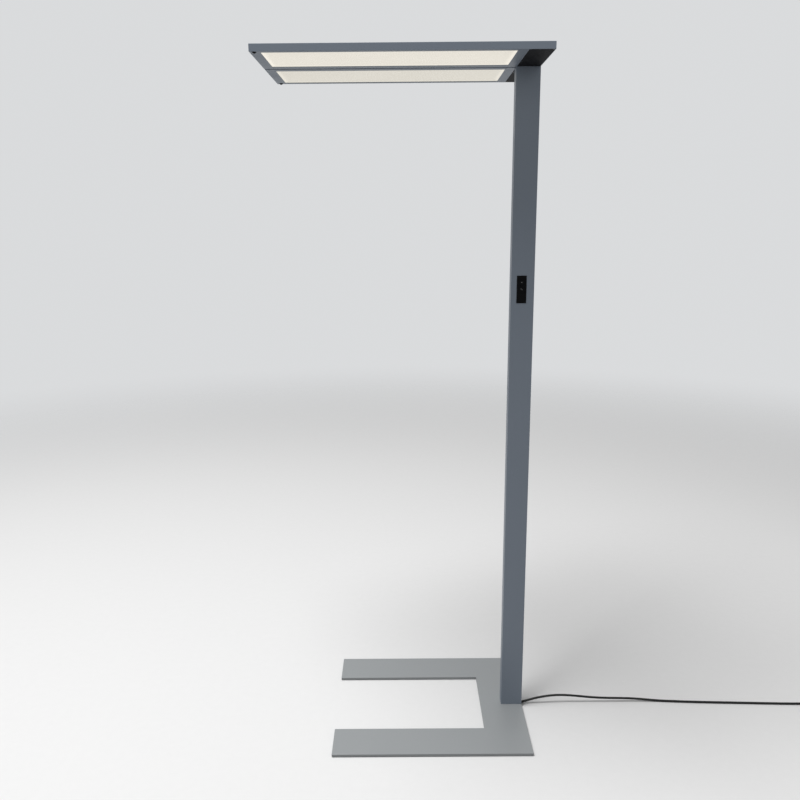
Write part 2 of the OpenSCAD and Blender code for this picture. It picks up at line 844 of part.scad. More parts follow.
// A strap round the whole bundle, just outside the turns
module coil_tie() {
    in_r = coil_out_r - coil_pitch * layer_turns - cord_r - slip;
    out_r = coil_out_r + cord_r + slip;
    top = coil_z + coil_pitch * (coil_layers - 1) + cord_r + slip;
    color("dimgray") translate([coil_at.x, coil_at.y, 0]) rotate([0, 0, tie_angle]) difference() {
        block([in_r - tie_t, -tie_w / 2, 0], [out_r + tie_t, tie_w / 2, top + tie_t]);
        block([in_r, -tie_w, tie_t - eps], [out_r, tie_w, top]);
    }
}

base_plate();
base_glides();
foot_block();
base_screws();
cord_clamp();
post();
foot_set_screws();
neck_block();
neck_set_screws();
panel_housing();
upper_key();
lower_key();
control_board();
key_switches();
panel_clip();
inner_mains_cable();
control_cable();
head_frame();
centre_bar();
bar_screws();
neck_bracket();
head_screws();
near_diffuser();
far_diffuser();
near_light_guide();
far_light_guide();
near_reflector();
far_reflector();
near_led_strip();
far_led_strip();
heat_spreader();
uplight_boards();
uplight_covers();
top_plate();
top_plate_screws();
led_driver();
driver_screws();
terminal_block();
driver_cover();
cover_screws();
near_sensor();
far_sensor();
sensor_boards();
cord_boot();
cord_run();
cord_coil();
cord_tail();
plug_body();
plug_pins();
coil_tie();
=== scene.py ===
"""Office floor lamp: its finishes and fine shapes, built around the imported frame.

The lamp has a U-shaped steel base, a flat aluminium post with two push keys, and a thin
head that shines down through two prismatic panels and up through two frosted windows.
Everything is in metres, with +Z up and -Y towards the user.
"""

import json
import logging
import math
from dataclasses import dataclass
from enum import Enum

import bmesh
import bpy
import numpy as np
from mathutils import Matrix, Vector


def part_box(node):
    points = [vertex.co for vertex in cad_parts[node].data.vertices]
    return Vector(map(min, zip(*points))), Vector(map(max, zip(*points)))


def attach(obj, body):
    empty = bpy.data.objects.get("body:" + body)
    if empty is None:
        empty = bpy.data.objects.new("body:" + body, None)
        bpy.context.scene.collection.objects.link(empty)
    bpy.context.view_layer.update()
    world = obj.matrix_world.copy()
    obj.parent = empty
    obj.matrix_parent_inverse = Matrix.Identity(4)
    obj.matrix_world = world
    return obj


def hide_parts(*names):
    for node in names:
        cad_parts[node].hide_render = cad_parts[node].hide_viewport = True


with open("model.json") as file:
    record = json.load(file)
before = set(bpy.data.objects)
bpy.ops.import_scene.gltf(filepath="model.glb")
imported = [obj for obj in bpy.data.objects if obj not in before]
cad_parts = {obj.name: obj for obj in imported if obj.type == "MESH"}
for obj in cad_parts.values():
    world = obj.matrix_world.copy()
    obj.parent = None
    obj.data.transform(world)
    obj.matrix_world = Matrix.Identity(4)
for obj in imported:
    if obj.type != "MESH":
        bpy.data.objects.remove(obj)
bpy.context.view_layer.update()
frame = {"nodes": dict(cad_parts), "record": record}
MM = 0.001
log = logging.getLogger("floor_lamp")

Colour = tuple[float, float, float]
Point = tuple[float, float, float]

# What all finishes share: a detail counts octaves of noise, a range is the noise that a mask
# rises over, and the others are shares and factors
GRAIN_DETAIL = 3.0
FLAKE_SHARE = 0.6
PATCH_DETAIL = 4.0
PATCH_RANGE = (0.35, 0.68)
SCUFF_BEND = 0.03
SCUFF_STRETCH = (3.0, 0.25, 0.6)
SCUFF_FINENESS = 12.0
SCUFF_RANGE = (0.72, 0.78)
SCUFF_ROUGHNESS = 0.12
DUST_TONE = 0.4
DUST_COVER = 0.5
DUST_ROUGHNESS = 0.08
BUMP_STRENGTH = 0.6

# How a CAD mesh is read, and how a copy is cleaned before its edges are rounded
SAME_POINT = 0.001 * MM
MERGE_WITHIN = 0.002 * MM
FLAT_WITHIN = math.radians(0.5)
CORNER_OVER = math.radians(40)

# Shader node groups and finishes


class Grain(Enum):
    """How a finish's fine grain is stretched along x, y and z."""

    PAINT = (1.0, 1.0, 1.0)
    MOULDED = (0.8, 0.8, 0.8)
    BRUSHED_X = (0.03, 1.0, 1.0)
    TURNED = (1.0, 1.0, 0.2)


class Graph:
    """Adds nodes to one tree with short calls."""

    def __init__(self, tree: bpy.types.NodeTree) -> None:
        """Keeps the tree that nodes are added to."""
        self.tree = tree

    def add(self, kind: str, inputs: dict | None = None, **settings) -> bpy.types.Node:
        """Adds a node.

        Args:
            kind: the node's type name.
            inputs: a value or an output socket for each input, by name or number.
            settings: the node's own properties.

        Returns:
            The new node.
        """
        node = self.tree.nodes.new(kind)
        for key, value in settings.items():
            setattr(node, key, value)
        for key, value in (inputs or {}).items():
            if isinstance(value, bpy.types.NodeSocket):
                self.tree.links.new(value, node.inputs[key])
            else:
                node.inputs[key].default_value = value
        return node

    def math(self, operation: str, *values, clamp: bool = False) -> bpy.types.NodeSocket:
        """Adds a Math node.

        Args:
            operation: the Math node's operation.
            values: numbers or sockets, in the order of its inputs.
            clamp: keeps the result from 0 to 1.

        Returns:
            The node's output.
        """
        inputs = dict(enumerate(values))
        return self.add("ShaderNodeMath", inputs, operation=operation, use_clamp=clamp).outputs[0]

    def blend(self, factor, low, high) -> bpy.types.NodeSocket:
        """Mixes two colours.

        Args:
            factor: a socket or number from 0 to 1.
            low: the colour at 0.
            high: the colour at 1.

        Returns:
            The mixed colour.
        """
        node = self.add("ShaderNodeMix", {0: factor, 6: low, 7: high}, data_type="RGBA")
        return node.outputs[2]

    def ramp(self, value, start: float, end: float, kind: str = "LINEAR") -> bpy.types.NodeSocket:
        """Turns a value into a share that rises from 0 at start to 1 at end.

        Args:
            value: the socket that is read.
            start: the value that gives 0, which may lie above end.
            end: the value that gives 1.
            kind: the Map Range node's interpolation.

        Returns:
            The share.
        """
        inputs = {"Value": value, "From Min": start, "From Max": end}
        return self.add("ShaderNodeMapRange", inputs, interpolation_type=kind).outputs[0]

    def seen_rays(self) -> bpy.types.NodeSocket:
        """Returns 1 for rays that show a surface to the eye, also in a mirror or through glass."""
        path = self.add("ShaderNodeLightPath")
        rays = [path.outputs[f"Is {kind} Ray"] for kind in ("Camera", "Glossy", "Transmission")]
        return self.math("MAXIMUM", self.math("MAXIMUM", rays[0], rays[1]), rays[2])


def opaque(colour: Colour, level: float = 1.0) -> tuple[float, float, float, float]:
    """Returns a colour times a level, with full alpha."""
    return tuple(c * level for c in colour) + (1.0,)


def new_group(
    name: str, inputs: dict[str, str], outputs: dict[str, str]
) -> tuple[Graph, dict, bpy.types.Node]:
    """Starts a shader node group.

    Args:
        name: the group's name.
        inputs: socket kinds by name, Float or Vector.
        outputs: socket kinds by name.

    Returns:
        The graph, the group's input sockets by name, and its output node.
    """
    tree = bpy.data.node_groups.new(name, "ShaderNodeTree")
    for side, sockets in (("INPUT", inputs), ("OUTPUT", outputs)):
        for label, kind in sockets.items():
            tree.interface.new_socket(name=label, in_out=side, socket_type=f"NodeSocket{kind}")
    graph = Graph(tree)
    source = graph.add("NodeGroupInput")
    return graph, {label: source.outputs[label] for label in inputs}, graph.add("NodeGroupOutput")


def fine_grain_group() -> bpy.types.NodeTree:
    """Fine noise on stretched coordinates.

    Returns:
        A group that puts out a speckle from 0 to 1 and a height from 0 to 1.
    """
    graph, given, out = new_group(
        "fine_grain",
        {"Vector": "Vector", "Stretch": "Vector", "Scale": "Float"},
        {"Speckle": "Float", "Height": "Float"},
    )
    place = graph.add(
        "ShaderNodeVectorMath", {0: given["Vector"], 1: given["Stretch"]}, operation="MULTIPLY"
    ).outputs[0]
    noise = graph.add(
        "ShaderNodeTexNoise", {"Vector": place, "Scale": given["Scale"], "Detail": GRAIN_DETAIL}
    )
    flake = graph.add("ShaderNodeTexVoronoi", {"Vector": place, "Scale": given["Scale"]})
    cell = graph.add("ShaderNodeSeparateColor", {0: flake.outputs["Color"]}).outputs[0]
    speckle = graph.math(
        "ADD",
        graph.math("MULTIPLY", cell, FLAKE_SHARE),
        graph.math("MULTIPLY", noise.outputs[0], 1 - FLAKE_SHARE),
    )
    graph.tree.links.new(speckle, out.inputs["Speckle"])
    graph.tree.links.new(noise.outputs[0], out.inputs["Height"])
    return graph.tree


def handling_group() -> bpy.types.NodeTree:
    """Soft patches of dust and touch, and a few hairline scuffs.

    Returns:
        A group that puts out two masks from 0 to 1.
    """
    graph, given, out = new_group(
        "handling", {"Vector": "Vector", "Scale": "Float"}, {"Patches": "Float", "Scuffs": "Float"}
    )
    soft = graph.add(
        "ShaderNodeTexNoise",
        {"Vector": given["Vector"], "Scale": given["Scale"], "Detail": PATCH_DETAIL},
    )
    patches = graph.ramp(soft.outputs[0], *PATCH_RANGE)
    bent = graph.add(
        "ShaderNodeVectorMath",
        {0: soft.outputs["Color"], 1: (SCUFF_BEND,) * 3, 2: given["Vector"]},
        operation="MULTIPLY_ADD",
    ).outputs[0]
    drawn_out = graph.add(
        "ShaderNodeVectorMath", {0: bent, 1: SCUFF_STRETCH}, operation="MULTIPLY"
    ).outputs[0]
    fineness = graph.math("MULTIPLY", given["Scale"], SCUFF_FINENESS)
    hair = graph.add("ShaderNodeTexNoise", {"Vector": drawn_out, "Scale": fineness})
    scuffs = graph.ramp(hair.outputs[0], *SCUFF_RANGE)
    graph.tree.links.new(patches, out.inputs["Patches"])
    graph.tree.links.new(scuffs, out.inputs["Scuffs"])
    return graph.tree


GRAIN_GROUP = fine_grain_group()
HANDLING_GROUP = handling_group()


@dataclass(frozen=True)
class Finish:
    """A surface with fine grain, soft patches and hairline scuffs.

    colour is linear. grain_scale counts grains to the metre, and grain_depth is in metres.
    """

    colour: Colour
    roughness: float
    metallic: float = 0.0
    grain: Grain = Grain.PAINT
    grain_scale: float = 900.0
    grain_depth: float = 0.00003
    tint: float = 0.06
    wear: float = 0.05
    patch_scale: float = 5.0
    specular: float = 0.5

    def surface(
        self, name: str
    ) -> tuple[Graph, bpy.types.Node, bpy.types.NodeSocket, bpy.types.Material]:
        """Builds the shared part of the material.

        Args:
            name: the material's name.

        Returns:
            The graph, the Principled BSDF, the Object coordinates and the material.
        """
        material = bpy.data.materials.new(name)
        material.use_nodes = True
        material.node_tree.nodes.clear()
        graph = Graph(material.node_tree)
        place = graph.add("ShaderNodeTexCoord").outputs["Object"]
        grain = graph.add("ShaderNodeGroup", node_tree=GRAIN_GROUP)
        handled = graph.add("ShaderNodeGroup", node_tree=HANDLING_GROUP)
        for node, scale in ((grain, self.grain_scale), (handled, self.patch_scale)):
            graph.tree.links.new(place, node.inputs["Vector"])
            node.inputs["Scale"].default_value = scale
        grain.inputs["Stretch"].default_value = self.grain.value
        dark, pale = (opaque(self.colour, level) for level in (1 - self.tint, 1 + self.tint))
        fleck = graph.blend(grain.outputs["Speckle"], dark, pale)
        dusty = opaque(tuple(c * (1 - self.wear) + DUST_TONE * self.wear for c in self.colour))
        patches, scuffs = (handled.outputs[mask] for mask in ("Patches", "Scuffs"))
        tinted = graph.blend(graph.math("MULTIPLY", patches, DUST_COVER), fleck, dusty)
        clean = self.roughness - DUST_ROUGHNESS / 2
        rough = graph.math(
            "ADD",
            graph.math("MULTIPLY_ADD", patches, DUST_ROUGHNESS, clean),
            graph.math("MULTIPLY", scuffs, SCUFF_ROUGHNESS),
            clamp=True,
        )
        bump = graph.add(
            "ShaderNodeBump",
            {
                "Height": grain.outputs["Height"],
                "Distance": self.grain_depth,
                "Strength": BUMP_STRENGTH,
            },
        )
        shader = graph.add(
            "ShaderNodeBsdfPrincipled",
            {
                "Base Color": tinted,
                "Roughness": rough,
                "Metallic": self.metallic,
                "Specular IOR Level": self.specular,
                "Normal": bump.outputs[0],
            },
        )
        output = graph.add("ShaderNodeOutputMaterial")
        graph.tree.links.new(shader.outputs[0], output.inputs[0])
        return graph, shader, place, material

    def material(self, name: str) -> bpy.types.Material:
        """Returns the finished material under that name."""
        return self.surface(name)[3]


@dataclass(frozen=True)
class PrismFinish(Finish):
    """The lit downward panels: rows of small pyramids with brighter edges, the near panel brighter.

    The places are the panels' outlines in the CAD model.
    """

    near_glow: Colour = (0.68, 0.64, 0.562)
    far_glow: Colour = (0.592, 0.56, 0.491)
    tones: tuple[float, float] = (0.92, 1.22)
    tip_share: float = 0.3
    strength: float = 1.0
    tip_z: float = 1933.5 * MM
    prism_depth: float = 0.8 * MM
    edge: float = 16 * MM
    left_x: float = -345 * MM
    right_x: float = 281 * MM
    inner_y: float = 29 * MM
    outer_y: float = 210 * MM

    def material(self, name: str) -> bpy.types.Material:
        """Builds the glow from each pyramid's height and the distance to the panel's nearest edge.

        The edge band falls as 1 - smoothstep(0, edge, distance), and each tip outshines its valley.

        Args:
            name: the material's name.

        Returns:
            The material.
        """
        graph, shader, place, material = super().surface(name)
        x, y, z = graph.add("ShaderNodeSeparateXYZ", {0: place}).outputs
        tip = graph.ramp(z, self.tip_z + self.prism_depth, self.tip_z)
        spans = (
            (x, self.left_x, self.right_x),
            (graph.math("ABSOLUTE", y), self.inner_y, self.outer_y),
        )
        ends, sides = (
            graph.math("MINIMUM", graph.math("SUBTRACT", at, low), graph.math("SUBTRACT", high, at))
            for at, low, high in spans
        )
        band = graph.ramp(graph.math("MINIMUM", ends, sides), self.edge, 0.0, "SMOOTHSTEP")
        edge_level = graph.math("MULTIPLY", band, 1 - self.tip_share)
        level = graph.math("MULTIPLY_ADD", tip, self.tip_share, edge_level, clamp=True)
        far = graph.math("GREATER_THAN", y, 0.0)
        dim, bright = (
            graph.blend(far, opaque(self.near_glow, tone), opaque(self.far_glow, tone))
            for tone in self.tones
        )
        graph.tree.links.new(graph.blend(level, dim, bright), shader.inputs["Emission Color"])
        shader.inputs["Emission Strength"].default_value = self.strength
        return material


@dataclass(frozen=True)
class WindowFinish(Finish):
    """The frosted upward window, with a soft bright spot over each light source.

    The places are those of the light sources in the CAD model.
    """

    glow: Colour = (0.36, 0.345, 0.3)
    tones: tuple[float, float] = (0.6, 1.15)
    spot_share: float = 0.45
    row_share: float = 0.5
    row_falloff: float = 0.08
    strength: float = 1.0
    spot: float = 16 * MM
    first_x: float = -13.3 * MM
    pitch: float = 37.44 * MM
    row_y: float = 119.5 * MM

    def material(self, name: str) -> bpy.types.Material:
        """Builds the glow, exp(-(d / spot)^2) at the distance d from the nearest source.

        A wider glow is exp(-row_falloff * (d / spot)^2) at the distance d from the row.

        Args:
            name: the material's name.

        Returns:
            The material.
        """
        graph, shader, place, material = super().surface(name)
        x, y, _ = graph.add("ShaderNodeSeparateXYZ", {0: place}).outputs
        half = self.pitch / 2
        shifted = graph.math("SUBTRACT", x, self.first_x - half)
        dx = graph.math("SUBTRACT", graph.math("FLOORED_MODULO", shifted, self.pitch), half)
        dy = graph.math("SUBTRACT", graph.math("ABSOLUTE", y), self.row_y)
        squares = [
            graph.math("POWER", graph.math("ABSOLUTE", graph.math("DIVIDE", d, self.spot)), 2.0)
            for d in (dx, dy)
        ]
        spot = graph.math("EXPONENT", graph.math("MULTIPLY", graph.math("ADD", *squares), -1.0))
        wide = graph.math("EXPONENT", graph.math("MULTIPLY", squares[1], -self.row_falloff))
        row_level = graph.math("MULTIPLY", wide, self.row_share)
        level = graph.math("MULTIPLY_ADD", spot, self.spot_share, row_level, clamp=True)
        dim, bright = (opaque(self.glow, tone) for tone in self.tones)
        graph.tree.links.new(graph.blend(level, dim, bright), shader.inputs["Emission Color"])
        shader.inputs["Emission Strength"].default_value = self.strength
        return material


FINISHES: dict[str, Finish] = {
    "steel_paint": Finish((0.315, 0.33, 0.338), 0.45, metallic=0.15, grain_scale=1300.0, wear=0.06),
    # Painted shade: the same silver paint as the base, made darker and bluer for the shade that the
    # back-lit post and head stand in
    "silver_paint": Finish((0.205, 0.24, 0.29), 0.45, metallic=0.15, grain_scale=1300.0, wear=0.02),
    "glide_rubber": Finish((0.03, 0.03, 0.031), 0.8, grain=Grain.MOULDED, grain_scale=600.0),
    "machined_aluminium": Finish(
        (0.55, 0.56, 0.58), 0.32, metallic=1.0, grain=Grain.BRUSHED_X, grain_scale=1500.0
    ),
    "screw_steel": Finish(
        (0.32, 0.32, 0.33), 0.3, metallic=1.0, grain=Grain.TURNED, grain_scale=2500.0
    ),
    "black_plastic": Finish(
        (0.006, 0.006, 0.007), 0.6, grain=Grain.MOULDED, grain_scale=1100.0, wear=0.002,
        specular=0.05,
    ),
    "black_gloss": Finish(
        (0.004, 0.004, 0.0045), 0.3, grain_depth=0.000005, wear=0.001, specular=0.06
    ),
    "circuit_board": Finish(
        (0.02, 0.1, 0.045), 0.45, grain=Grain.BRUSHED_X, grain_scale=500.0, tint=0.3
    ),
    "light_source": Finish((0.75, 0.7, 0.42), 0.3, grain_scale=700.0),
    "switch_plastic": Finish((0.45, 0.44, 0.4), 0.5, grain=Grain.MOULDED),
    "cable_sheath": Finish(
        (0.008, 0.008, 0.008), 0.45, grain=Grain.MOULDED, grain_scale=1600.0, wear=0.008,
        specular=0.3,
    ),
    "lit_diffuser": PrismFinish(
        (0.25, 0.25, 0.24), 0.4, grain_depth=0.00001, wear=0.0, specular=0.3
    ),
    "light_guide": WindowFinish((0.24, 0.245, 0.24), 0.4, grain_scale=1800.0, wear=0.02),
    "reflector_film": Finish((0.8, 0.8, 0.8), 0.6, grain_scale=2000.0),
    "driver_case": Finish((0.7, 0.7, 0.69), 0.55, grain=Grain.MOULDED),
    "pin_brass": Finish(
        (0.62, 0.55, 0.4), 0.38, metallic=1.0, grain=Grain.TURNED, grain_scale=2000.0
    ),
    "key_print": Finish((0.2, 0.2, 0.2), 0.5, grain_scale=3000.0, specular=0.2),
    "strap_fabric": Finish(
        (0.03, 0.03, 0.032), 0.85, grain=Grain.MOULDED, grain_scale=1400.0, grain_depth=0.0003
    ),
}
MATERIALS = {name: finish.material(name) for name, finish in FINISHES.items()}


# Meshes


@dataclass
class Surface:
    """Points and faces of one or more closed surfaces."""

    points: np.ndarray
    faces: list[list[int]]

    @staticmethod
    def together(parts: list["Surface"]) -> "Surface":
        """Puts several surfaces into one mesh.

        Args:
            parts: the surfaces.

        Returns:
            One surface with all their points and faces.
        """
        starts = np.cumsum([0] + [len(part.points) for part in parts[:-1]])
        faces = [
            [i + int(start) for i in face]
            for start, part in zip(starts, parts) for face in part.faces
        ]
        return Surface(np.concatenate([part.points for part in parts]), faces)


def quads(rows: int, columns: int, closed: bool) -> np.ndarray:
    """Faces of a grid of points, numbered row by row.

    Args:
        rows: rows of points.
        columns: points in a row.
        closed: joins each row's last point to its first.

    Returns:
        Four point numbers for each face.
    """
    across = columns if closed else columns - 1
    i, k = np.meshgrid(np.arange(rows - 1), np.arange(across), indexing="ij")
    a, b = i * columns + k, i * columns + (k + 1) % columns
    return np.stack([a, b, b + columns, a + columns], -1).reshape(-1, 4)


def loft(along: list[float], radii: np.ndarray, base: Vector, axis: Vector) -> Surface:
    """A closed surface round an axis.

    Its points are base + along_i * axis + radius(i, t) * (cos t * first + sin t * second), where
    first and second are square to the axis.

    Args:
        along: the distance of each ring along the axis.
        radii: each ring's radius, or its radii by angle.
        base: the point that the distances start at.
        axis: the axis's direction.

    Returns:
        The surface, with a flat cap at each end.
    """
    radii = np.asarray(radii, float)
    sides = radii.shape[1]
    turn = np.arange(sides) * 2 * np.pi / sides
    ahead = axis.normalized()
    sideways = abs(ahead.x) > max(abs(ahead.y), abs(ahead.z))
    first = Vector((0, 1, 0)) if sideways else Vector((1, 0, 0))
    second = ahead.cross(first).normalized()
    first = second.cross(ahead)
    round_dirs = np.outer(np.cos(turn), first) + np.outer(np.sin(turn), second)
    rings = np.array(base) + np.asarray(along, float)[:, None, None] * np.array(ahead)
    points = (rings + radii[:, :, None] * round_dirs).reshape(-1, 3)
    last = (len(along) - 1) * sides
    faces = quads(len(along), sides, True).tolist()
    faces += [list(range(sides - 1, -1, -1)), list(range(last, last + sides))]
    return Surface(points, faces)


def rounds(profile: list[tuple[float, float]], sides: int = 32) -> tuple[list[float], np.ndarray]:
    """Splits a profile into distances and round rings.

    Args:
        profile: a distance along the axis and a radius for each ring.
        sides: points on each ring.

    Returns:
        The distances, and one row of radii for each ring.
    """
    table = np.asarray(profile, float)
    return list(table[:, 0]), np.repeat(table[:, 1:], sides, axis=1)


def place(
    name: str, surface: Surface, body: str, slot: str, nodes: list[str], finish: str = "",
    smooth_angle: float = 35.0,
) -> bpy.types.Object:
    """Makes a piece of a surface.

    Args:
        name: the piece's name.
        surface: its points and faces, where they lie.
        body: the body it rides on.
        slot: the record's material slot.
        nodes: the CAD nodes that it stands for.
        finish: a finish of its own, where it isn't the slot's.
        smooth_angle: faces that meet at less than this many degrees are shaded as one. At 0
            every face is flat.

    Returns:
        The piece.
    """
    mesh = bpy.data.meshes.new(name)
    mesh.from_pydata(surface.points.tolist(), [], surface.faces)
    mesh.update()
    if smooth_angle:
        mesh.shade_smooth()
        mesh.set_sharp_from_angle(angle=math.radians(smooth_angle))
    return adopt(name, mesh, body, slot, nodes, finish)


def adopt(
    name: str, data: bpy.types.ID, body: str, slot: str, nodes: list[str], finish: str = ""
) -> bpy.types.Object:
    """Puts finished mesh or curve data into the scene as a piece.

    Args:
        name: the piece's name.
        data: the mesh or curve.
        body: the body it rides on.
        slot: the record's material slot.
        nodes: the CAD nodes that it stands for.
        finish: a finish of its own, where it isn't the slot's.

    Returns:
        The piece.
    """
    piece = bpy.data.objects.new(name, data)
    bpy.context.scene.collection.objects.link(piece)
    data.materials.append(MATERIALS[finish or slot])
    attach(piece, body)
    if nodes:
        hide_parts(*nodes)
    log.info("%s rides on %s", name, body)
    return piece


def eased(
    name: str, node: str, width: float, body: str, slot: str, shortest: float = 5 * MM,
    finish: str = "",
) -> bpy.types.Object:
    """A copy of a node whose long outward edges have a small round.

    Args:
        name: the piece's name.
        node: the CAD node it is made from and stands for.
        width: the round's width.
        body: the body it rides on.
        slot: the record's material slot.
        shortest: edges shorter than this stay sharp.
        finish: a finish of its own, where it isn't the slot's.

    Returns:
        The piece.
    """
    shape = bmesh.new()
    shape.from_mesh(frame["nodes"][node].data)
    bmesh.ops.remove_doubles(shape, verts=shape.verts, dist=MERGE_WITHIN)
    bmesh.ops.dissolve_limit(shape, angle_limit=FLAT_WITHIN, verts=shape.verts, edges=shape.edges)
    long_edges = [
        edge for edge in shape.edges
        if edge.is_manifold and edge.is_convex and edge.calc_length() >= shortest
        and edge.calc_face_angle() > CORNER_OVER
    ]
    bmesh.ops.bevel(
        shape, geom=long_edges, offset=width, segments=2, profile=0.5, affect="EDGES",
        clamp_overlap=False,
    )
    mesh = bpy.data.meshes.new(name)
    shape.to_mesh(mesh)
    shape.free()
    return adopt(name, mesh, body, slot, [node], finish)


# Camera, cord and stage


@dataclass
class Viewpoint:
    """The photograph's camera, with angles in radians and the focal length in picture widths."""

    spot: Point = (-6.99 * MM, -2229.3 * MM, 1526.4 * MM)
    yaw: float = 0.0027
    pitch: float = -0.2253
    roll: float = -0.0079
    focal: float = 772.9 / 800
    sensor: float = 36.0
    reach: tuple[float, float] = (0.05, 60.0)

    def build(self) -> bpy.types.Object:
        """Makes the scene's camera and returns it."""
        data = bpy.data.cameras.new("viewpoint")
        data.sensor_width = self.sensor
        data.lens = self.focal * self.sensor
        data.clip_start, data.clip_end = self.reach
        camera = bpy.data.objects.new("viewpoint", data)
        bpy.context.scene.collection.objects.link(camera)
        ahead = Vector((
            -math.sin(self.yaw) * math.cos(self.pitch),
            math.cos(self.yaw) * math.cos(self.pitch),
            math.sin(self.pitch),
        ))
        right = Vector((math.cos(self.yaw), math.sin(self.yaw), 0.0))
        up = right.cross(ahead)
        c, s = math.cos(self.roll), math.sin(self.roll)
        turned = Matrix((right * c + up * s, up * c - right * s, -ahead)).transposed().to_4x4()
        camera.matrix_world = Matrix.Translation(self.spot) @ turned
        bpy.context.scene.camera = camera
        return camera


@dataclass
class MainsCord:
    """The mains cord: its stretch along the floor, its coil, its tail, and the pieces on it.

    The coil has rings points to a turn, and middle is its mean radius. tie is the strap's
    thickness under it. boot is the strain relief's length and its two end radii, neck_r the end
    radii of the plug's neck, and pin a pin's radius, its length and the pins' distance. The ribs
    lie between the two shares boot_ribbed of the boot's length, and past the share neck_plain of
    the neck's. rib_rings counts the rings from one rib to the next.
    """

    diameter: float = 7 * MM
    exit: Point = (371 * MM, 0.0, 5.5 * MM)
    length: float = 3.03
    turns: float = 8.25
    layers: int = 4
    rings: int = 36
    climb: float = 0.5
    pitch: float = 7.6 * MM
    middle: float = 38.5 * MM
    tie: float = 1.2 * MM
    strap_round: float = 0.3 * MM
    boot: tuple[float, float, float] = (22 * MM, 4.2 * MM, 3.7 * MM)
    boot_tilt: float = math.radians(18)
    boot_rings: int = 34
    boot_sides: int = 28
    boot_rib: float = 0.35 * MM
    boot_ribbed: tuple[float, float] = (0.12, 0.94)
    neck: float = 24 * MM
    neck_r: tuple[float, float] = (4.1 * MM, 5.9 * MM)
    neck_rings: int = 22
    neck_rib: float = 0.5 * MM
    neck_plain: float = 0.1
    rib_rings: int = 4
    plug_sides: int = 64
    grip_half: float = 15.2 * MM
    grip_end: float = 25 * MM
    grip_corner: float = 0.1
    pin: tuple[float, float, float] = (2.4 * MM, 19 * MM, 19 * MM)
    pin_tip: tuple[tuple[float, float], ...] = ((1.6 * MM, 1.0), (0.5 * MM, 0.8), (0.0, 0.4))
    pin_sides: int = 24

    def route(self) -> np.ndarray:
        """The centreline.

        After t turns the coil's angle is 90 - 360 t degrees. Its radius falls and rises again as
        a triangle wave of t, and its height climbs a layer over the climb turns in which the wave
        turns round.

        Returns:
            Points in order, in metres.
        """
        run = np.array([
            [392, 0, 12.3], [400, 0, 14.9], [412, 0.5, 18.3], [425, 1, 21.2], [438, 1.3, 23.6],
            [452, 2, 25.7], [468, 2.6, 27.4], [484, 3.3, 28.2], [500, 4, 28], [516, 4.5, 27.2],
            [533, 5, 25.7], [550, 5.6, 23.7], [567, 6.2, 21.4], [585, 6.8, 18.9], [605, 7.4, 16.6],
            [627, 7.8, 14.8], [650, 8, 13.6], [673, 8.2, 12.9], [695, 8.4, 12.3], [717, 8.6, 11.4],
            [740, 8.7, 10.1], [762, 8.6, 8.4], [784, 8.2, 6.4], [806, 7.3, 4.7], [826, 6, 3.7],
            [850, 4.2, 3.5], [900, 0.6, 3.5], [950, -2.3, 3.5], [1000, -4.6, 3.5],
            [1050, -6.6, 3.5], [1100, -8.7, 3.5], [1150, -10.8, 3.5], [1200, -12.8, 3.5],
            [1250, -14.2, 3.5], [1290, -14.9, 3.8], [1320, -15, 4.4], [1338, -15, 4.7],
            [1345, -15, 4.7],
        ]) * MM
        layer = self.turns / self.layers
        outer = self.middle + self.pitch * layer / 2
        low = self.tie + self.diameter / 2
        centre = np.array([run[-1, 0] + self.diameter, run[-1, 1] - outer])
        # The last ring stays just short of the point where another layer would start
        end = self.turns - 1e-4
        t = np.minimum(np.arange(int(self.turns * self.rings) + 1) / self.rings, end)
        k, u = np.divmod(t / layer, 1.0)
        radius = outer - self.pitch * layer * np.where(k % 2 == 0, u, 1 - u)
        steps = (t[:, None] - np.arange(1, self.layers) * layer) / self.climb
        steps = np.clip(steps + 0.5, 0, 1)
        height = low + self.pitch * (steps * steps * (3 - 2 * steps)).sum(1)
        angle = np.pi / 2 - 2 * np.pi * t
        coil = np.column_stack([
            centre[0] + radius * np.cos(angle), centre[1] + radius * np.sin(angle), height
        ])
        top = low + self.pitch * (self.layers - 1)
        start = np.array([centre[0] + outer, centre[1] - self.diameter, top])
        sag = np.array([
            [0, 0], [-7, 0], [-16, -0.8], [-25, -2.5], [-34, -4.8], [-43, -7], [-52, -8.7],
            [-60, -9.5], [-67, -9.5],
        ]) * MM
        tail = start + np.column_stack([np.zeros(len(sag)), sag])
        return np.concatenate([run, coil, tail])

    def build(self) -> None:
        route = self.route()
        curve = bpy.data.curves.new("mains_cord", "CURVE")
        curve.dimensions = "3D"
        curve.bevel_depth = self.diameter / 2
        curve.bevel_resolution = 5
        curve.use_fill_caps = True
        spline = curve.splines.new("POLY")
        spline.points.add(len(route) - 1)
        spline.points.foreach_set("co", np.column_stack([route, np.ones(len(route))]).ravel())
        nodes = ["cord_run", "cord_coil", "cord_tail"]
        cord = adopt("mains_cord", curve, "lamp", "cable_sheath", nodes)
        on_cord = [self.strain_relief(), *self.plug(route[-1])]
        on_cord.append(eased(
            "coil_strap", "coil_tie", self.strap_round, "lamp", "black_plastic",
            finish="strap_fabric",
        ))

    def ribs(self, rings: int, depth: float) -> np.ndarray:
        """Returns how far each ring steps in: depth at every second pair of rings, else 0."""
        return np.where(np.arange(rings) % self.rib_rings < self.rib_rings // 2, 0.0, depth)

